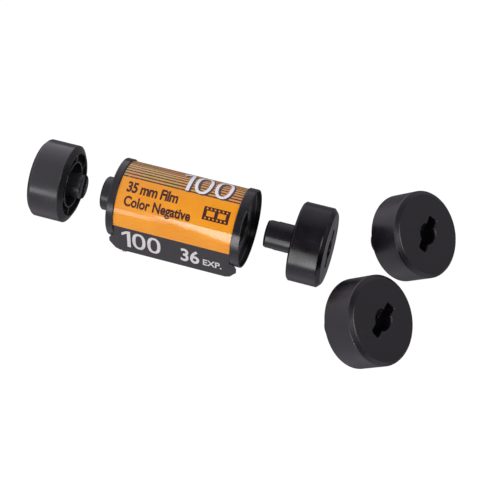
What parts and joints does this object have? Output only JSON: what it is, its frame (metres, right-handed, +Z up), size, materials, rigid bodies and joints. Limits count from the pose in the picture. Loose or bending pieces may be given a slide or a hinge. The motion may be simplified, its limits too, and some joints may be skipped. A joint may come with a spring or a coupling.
{
  "type": "film magazine adapter kit",
  "caption": "35 mm film magazine with moulded end adapters that fit it to a 120 roll film camera: a cup and a stem adapter on its axis, and a matching take-up pair lying beside it.",
  "frame": {"origin": "centre of the magazine's flat end on the spool axis, in the plane of the end cap's rim", "axes": "+X along the spool axis, out of the magazine's flat end; -Y is the side of the film lips and the label's text; +Z up, with the table at z = -12.5 mm"},
  "size_m": [0.132, 0.0631, 0.0263],
  "materials": {
    "enamelled_steel": "satin black enamel",
    "label": "glossy printed wrap",
    "plush": "short black pile",
    "spool_plastic": "satin moulded",
    "film": "glossy film base, emulsion side in",
    "tape": "clear tape",
    "adapter_plastic": "satin moulded, softened edges"
  },
  "bodies": {
    "magazine": {"magazine_shell": "enamelled_steel", "magazine_label": "label", "cap_stub_end": "enamelled_steel", "cap_flat_end": "enamelled_steel", "plush_outer": "plush", "plush_inner": "plush"},
    "spool": {"spool_core": "spool_plastic", "film_roll": "film", "film_tape": "tape"},
    "supply_cup_adapter": {"supply_cup_adapter": "adapter_plastic"},
    "supply_stem_adapter": {"supply_stem_adapter": "adapter_plastic"},
    "takeup_adapter_rear": {"takeup_adapter_rear": "adapter_plastic"},
    "takeup_adapter_front": {"takeup_adapter_front": "adapter_plastic"}
  },
  "joints": [
    {"name": "spool_turn", "type": "hinge", "parent": "magazine", "child": "spool", "pos_m": [0, 0, 0], "axis": [1, 0, 0], "continuous": true},
    {"name": "supply_cup_slide", "type": "slide", "parent": "spool", "child": "supply_cup_adapter", "axis": [1, 0, 0], "range_m": [0, 0.01486]},
    {"name": "supply_stem_slide", "type": "slide", "parent": "spool", "child": "supply_stem_adapter", "axis": [-1, 0, 0], "range_m": [0, 0.01472]},
    {"name": "takeup_rear_lift", "type": "slide", "parent": "magazine", "child": "takeup_adapter_rear", "axis": [0, 0, 1], "range_m": [0, 0.04]},
    {"name": "takeup_front_lift", "type": "slide", "parent": "magazine", "child": "takeup_adapter_front", "axis": [0, 0, 1], "range_m": [0, 0.04]}
  ]
}
